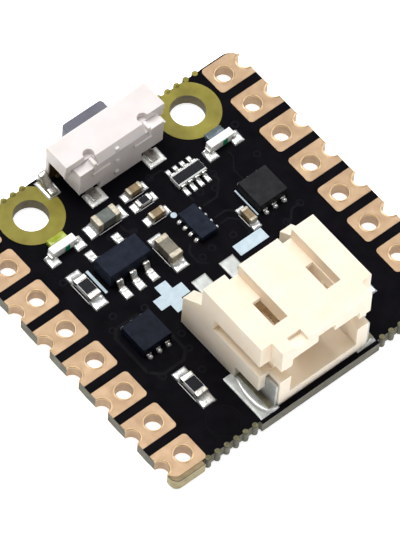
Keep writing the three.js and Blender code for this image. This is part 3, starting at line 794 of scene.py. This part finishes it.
def charger_controller():
    """The five-lead chip: three leads at the near side, two at the far side."""
    leads, near_leads = 5, 3
    toe_reach, land_half = 0.12, (0.27, 0.37)
    softened("charger_ic_body", "epoxy_blue", 0.05, 2)
    shape = bmesh.new()
    for index in range(1, leads + 1):
        softened(f"charger_ic_lead_{index}", "tin", 0.03, 2)
        low, high = node_box(f"charger_ic_lead_{index}")
        centre = (low + high) / 2
        front = -1 if index <= near_leads else 1
        toe = low.y if front < 0 else high.y
        pool(shape, centre.x, toe + front * toe_reach, land_half, rise=0.09, climb=0.12,
             towards=(0, -front))
    finish_piece("charger_ic_solder", shape, "solder", sharp=SOLDER_SHARP)


def leadless(node, look):
    """A square moulded package, with a row of contacts and solder beads at its near and far sides."""
    body_half = 1.0
    row = (-0.65, 0, 0.65)
    contact_half, contact_near, contact_far, contact_top = 0.16, 0.08, 0.05, TOP + 0.2
    bead_out, bead_radius, bead_rise = 0.17, 0.16, 0.17
    low, high = node_box(node)
    centre = (low + high) / 2
    shape = bmesh.new()
    block(shape, (centre.x - body_half, centre.y - body_half, FOOT),
          (centre.x + body_half, centre.y + body_half, high.z), 0.04, 2)
    body = finish_piece(f"{node}_body", shape, look)
    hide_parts(node)
    shape = bmesh.new()
    joints = bmesh.new()
    for side in (-1, 1):
        for step in row:
            x, y = centre.x + step, centre.y + side * body_half
            block(shape, (x - contact_half, y - contact_near, TOP + 0.01),
                  (x + contact_half, y + contact_far, contact_top), 0.02, 2)
            bead(joints, x, y + side * bead_out, bead_radius, bead_rise)
    finish_piece(f"{node}_contacts", shape, "tin")
    finish_piece(f"{node}_solder", joints, "solder", sharp=SOLDER_SHARP)


def protection_controller():
    """The eight-contact chip: four short leads at its left and four at its right."""
    half_x, half_y = 0.6, 1.05
    lead_x, lead_half_x, lead_half_y, lead_top = 0.63, 0.12, 0.11, TOP + 0.13
    bead_out, bead_radius, bead_rise = 0.12, 0.13, 0.15
    low, high = node_box("protection_ic")
    centre = (low + high) / 2
    shape = bmesh.new()
    block(shape, (centre.x - half_x, centre.y - half_y, FOOT),
          (centre.x + half_x, centre.y + half_y, high.z), 0.05, 2)
    body = finish_piece("protection_ic_body", shape, "epoxy_blue")
    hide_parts("protection_ic")
    shape = bmesh.new()
    joints = bmesh.new()
    for side in (-1, 1):
        for step in ROW_OF_FOUR:
            x, y = centre.x + side * lead_x, centre.y + step
            block(shape, (x - lead_half_x, y - lead_half_y, FOOT),
                  (x + lead_half_x, y + lead_half_y, lead_top), 0.03, 2)
            bead(joints, x + side * bead_out, y, bead_radius, bead_rise)
    finish_piece("protection_ic_leads", shape, "tin")
    finish_piece("protection_ic_solder", joints, "solder", sharp=SOLDER_SHARP)


def resistor_array():
    """Four resistors in one body: black film on top, a metal strip and four ends along each long side."""
    body_x, body_y, body_drop = 1.0, 0.43, 0.03
    film_x, film_y, film_depth = 0.97, 0.29, 0.05
    strip_x, strip_inner, strip_outer, strip_depth, strip_proud = 0.95, 0.3, 0.43, 0.06, 0.005
    end_y, end_half, end_in, end_out = 0.42, 0.15, 0.02, 0.12
    land_out, land_half = 0.34, (0.15, 0.28)
    low, high = node_box("resistor_array")
    centre = (low + high) / 2
    shape = bmesh.new()
    block(shape, (centre.x - body_x, centre.y - body_y, FOOT),
          (centre.x + body_x, centre.y + body_y, high.z - body_drop), 0.03, 2)
    body = finish_piece("resistor_array_body", shape, "alumina")
    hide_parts("resistor_array")
    shape = bmesh.new()
    block(shape, (centre.x - film_x, centre.y - film_y, high.z - film_depth),
          (centre.x + film_x, centre.y + film_y, high.z), 0.012, 2)
    finish_piece("resistor_array_film", shape, "glaze")
    shape = bmesh.new()
    for side in (-1, 1):
        near, far = sorted((side * strip_inner, side * strip_outer))
        block(shape, (centre.x - strip_x, centre.y + near, high.z - strip_depth),
              (centre.x + strip_x, centre.y + far, high.z + strip_proud), 0.02, 2)
    finish_piece("resistor_array_strips", shape, "dull_solder")
    shape = bmesh.new()
    joints = bmesh.new()
    for side in (-1, 1):
        for step in ROW_OF_FOUR:
            x, y = centre.x + step, centre.y + side * end_y
            near, far = sorted((y - side * end_in, y + side * end_out))
            block(shape, (x - end_half, near, FOOT), (x + end_half, far, high.z - body_drop), 0.04, 2)
            pool(joints, x, y + side * land_out, land_half, rise=0.08, climb=0.1, towards=(0, -side))
    finish_piece("resistor_array_ends", shape, "tin")
    finish_piece("resistor_array_solder", joints, "solder", sharp=SOLDER_SHARP)


def side_lamp(side, lens_look):
    """A side-facing lamp: white carrier, tinted lens, plated ends and a polarity mark."""
    mark_x, mark_y = (0.02, 0.34), (-0.02, 0.05)
    mark_foot, mark_drop = 0.06, 0.1
    end_x, end_half, end_proud, end_short, end_top = 0.82, 0.16, 0.03, 0.05, TOP + 0.3
    land_x, land_out, land_half = 0.92, 0.05, (0.36, 0.4)
    name = f"lamp_{side}"
    softened(f"{name}_carrier", "lamp_white", 0.03, 2)
    softened(f"{name}_lens", lens_look, 0.06, 3)
    low, high = node_box(f"{name}_carrier")
    centre = (low + high) / 2
    shape = bmesh.new()
    front = low.y
    plate(shape, [(centre.x + mark_x[0], front + mark_y[0]), (centre.x + mark_x[1], front + mark_y[0]),
                  (centre.x + mark_x[1], front + mark_y[1]), (centre.x + mark_x[0], front + mark_y[1])],
          TOP + mark_foot, high.z - mark_drop)
    finish_piece(f"{name}_mark", shape, "lamp_mark")
    shape = bmesh.new()
    joints = bmesh.new()
    for end in (-1, 1):
        x = centre.x + end * end_x
        block(shape, (x - end_half, front - end_proud, FOOT), (x + end_half, high.y - end_short, end_top),
              0.04, 2)
        pool(joints, centre.x + end * land_x, front - land_out, land_half, rise=0.1, climb=0.2)
    finish_piece(f"{name}_ends", shape, "tin")
    finish_piece(f"{name}_solder", joints, "solder", sharp=SOLDER_SHARP)


# How far the solder of a chip reaches past its ends.
SMALL_OVERHANG = 0.36
CAPACITOR_OVERHANG = 0.55
RESISTOR_OVERHANG = 0.6


def surface_parts():
    """Every part on the board except the socket and the switch."""
    for node in ("small_capacitor_rear", "small_capacitor_middle", "small_capacitor_right"):
        chip(node, "ceramic_brown", SMALL_OVERHANG)
    chip("input_capacitor", "ceramic_slate", CAPACITOR_OVERHANG)
    chip("battery_capacitor", "ceramic_olive", CAPACITOR_OVERHANG)
    chip("small_resistor", "alumina", SMALL_OVERHANG, "glaze")
    chip("sense_resistor_rear", "alumina", RESISTOR_OVERHANG, "glaze")
    chip("sense_resistor_front", "alumina", RESISTOR_OVERHANG, "glaze")
    charger_controller()
    leadless("regulator_ic", "epoxy_grey")
    leadless("path_switch_ic", "epoxy_navy")
    protection_controller()
    resistor_array()
    side_lamp("left", "lamp_yellow")
    side_lamp("right", "lamp_clear")


# ---- stage, lights and camera ----------------------------------------------

# The camera was solved from the grid of pad holes. Angles are azimuth, elevation and roll.
AIM = Vector((-0.336, -0.090, TOP - 0.162)) * MM
AZIMUTH = math.radians(-43.829)
ELEVATION = math.radians(57.737)
ROLL = math.radians(-4.807)
DISTANCE = 374.164 * MM
LENS = 453.66
SENSOR_WIDTH = 36.0

# From here on lengths are in metres.
CLIP_START = 0.01
CLIP_END = 20.0

# Name, place, size and power of each light.
SOFTBOXES = [
    ("key_light", (-0.04, 0.14, 0.42), (0.28, 0.34), 1.97),
    ("side_light", (0.36, -0.2, 0.28), (0.2, 0.3), 0.6),
    ("back_card", (0.29, 0.2, 0.43), (0.2, 0.2), 0.5),
]
FLOOR_SIZE = 2.0
FLOOR_DROP = 0.0002
FLOOR_TONE = (0.9, 0.9, 0.9, 1)
FLOOR_ROUGHNESS = 0.9
FLOOR_GLOW = 0.85
WORLD_TONE = (0.96, 0.97, 1.0, 1)
WORLD_STRENGTH = 0.15


def camera():
    """The photo's own view."""
    data = bpy.data.cameras.new("camera")
    data.lens = LENS
    data.sensor_width = SENSOR_WIDTH
    data.clip_start = CLIP_START
    data.clip_end = CLIP_END
    view = bpy.data.objects.new("camera", data)
    back = Vector((math.sin(AZIMUTH) * math.cos(ELEVATION), -math.cos(AZIMUTH) * math.cos(ELEVATION),
                   math.sin(ELEVATION)))
    right = (-back).cross(Vector((0, 0, 1))).normalized()
    up = back.cross(right)
    turned_right = math.cos(ROLL) * right - math.sin(ROLL) * up
    turned_up = math.cos(ROLL) * up + math.sin(ROLL) * right
    turn = Matrix((turned_right, turned_up, back)).transposed().to_4x4()
    view.matrix_world = Matrix.Translation(AIM + back * DISTANCE) @ turn
    bpy.context.scene.collection.objects.link(view)
    bpy.context.scene.camera = view


def softbox(name, place, size, power):
    """A soft light of the given size that faces the part."""
    data = bpy.data.lights.new(name, "AREA")
    data.shape = "RECTANGLE"
    data.size, data.size_y = size
    data.energy = power
    lamp = bpy.data.objects.new(name, data)
    lamp.location = place
    lamp.rotation_euler = (-Vector(place)).to_track_quat("-Z", "Y").to_euler()
    bpy.context.scene.collection.objects.link(lamp)


def stage():
    """White floor, dim surroundings and three soft lights."""
    shape = bmesh.new()
    bmesh.ops.create_grid(shape, x_segments=1, y_segments=1, size=FLOOR_SIZE)
    mesh = bpy.data.meshes.new("floor")
    shape.to_mesh(mesh)
    shape.free()
    look = bpy.data.materials.new("floor")
    look.use_nodes = True
    shader = next(node for node in look.node_tree.nodes if node.type == "BSDF_PRINCIPLED")
    shader.inputs["Base Color"].default_value = FLOOR_TONE
    shader.inputs["Roughness"].default_value = FLOOR_ROUGHNESS
    shader.inputs["Emission Color"].default_value = (1, 1, 1, 1)
    shader.inputs["Emission Strength"].default_value = FLOOR_GLOW
    mesh.materials.append(look)
    floor = bpy.data.objects.new("floor", mesh)
    floor.location.z = -FLOOR_DROP
    bpy.context.scene.collection.objects.link(floor)

    world = bpy.data.worlds.new("studio")
    world.use_nodes = True
    world.node_tree.nodes["Background"].inputs["Color"].default_value = WORLD_TONE
    world.node_tree.nodes["Background"].inputs["Strength"].default_value = WORLD_STRENGTH
    bpy.context.scene.world = world
    bpy.context.scene.view_settings.view_transform = "Standard"

    for name, place, size, power in SOFTBOXES:
        softbox(name, place, size, power)


camera()
stage()
dress_board()
for side, centre in zip(("left", "right"), SCREW_HOLES):
    screw_ring(f"screw_ring_{side}", centre)
printed_marks()
bare_corners()
conductors()
edge_pads()
battery_socket()
slide_switch()
surface_parts()
